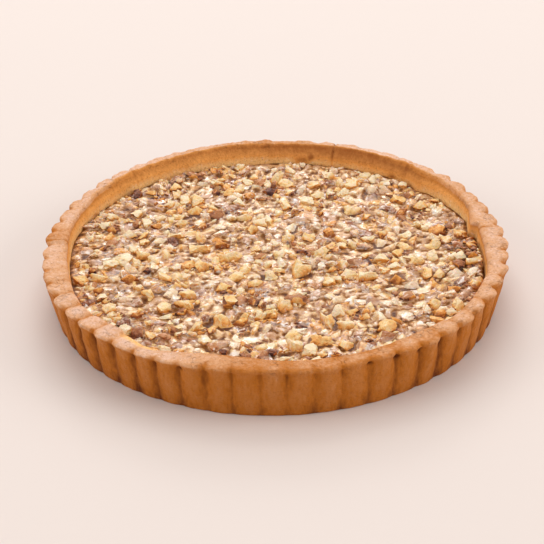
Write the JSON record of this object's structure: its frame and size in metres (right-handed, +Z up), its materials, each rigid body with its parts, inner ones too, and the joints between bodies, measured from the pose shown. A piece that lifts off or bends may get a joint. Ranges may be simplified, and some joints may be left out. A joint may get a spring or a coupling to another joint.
{
  "type": "walnut tart",
  "caption": "Round tart with a fluted shortcrust pastry case, filled with glazed chopped walnuts, lying flat on its underside.",
  "frame": {"origin": "centre of the underside, on the surface that the tart stands on", "axes": "+Z up through the middle of the tart, -Y towards the side that faces the viewer, +X to the viewer's right"},
  "size_m": [0.2298, 0.2276, 0.028],
  "materials": {
    "pastry": "baked shortcrust pastry, golden brown, sandy and matt",
    "walnut": "chopped walnuts bound in a glossy syrup"
  },
  "bodies": {
    "root": {"pastry_crust": "pastry", "walnut_filling": "walnut"}
  },
  "joints": []
}
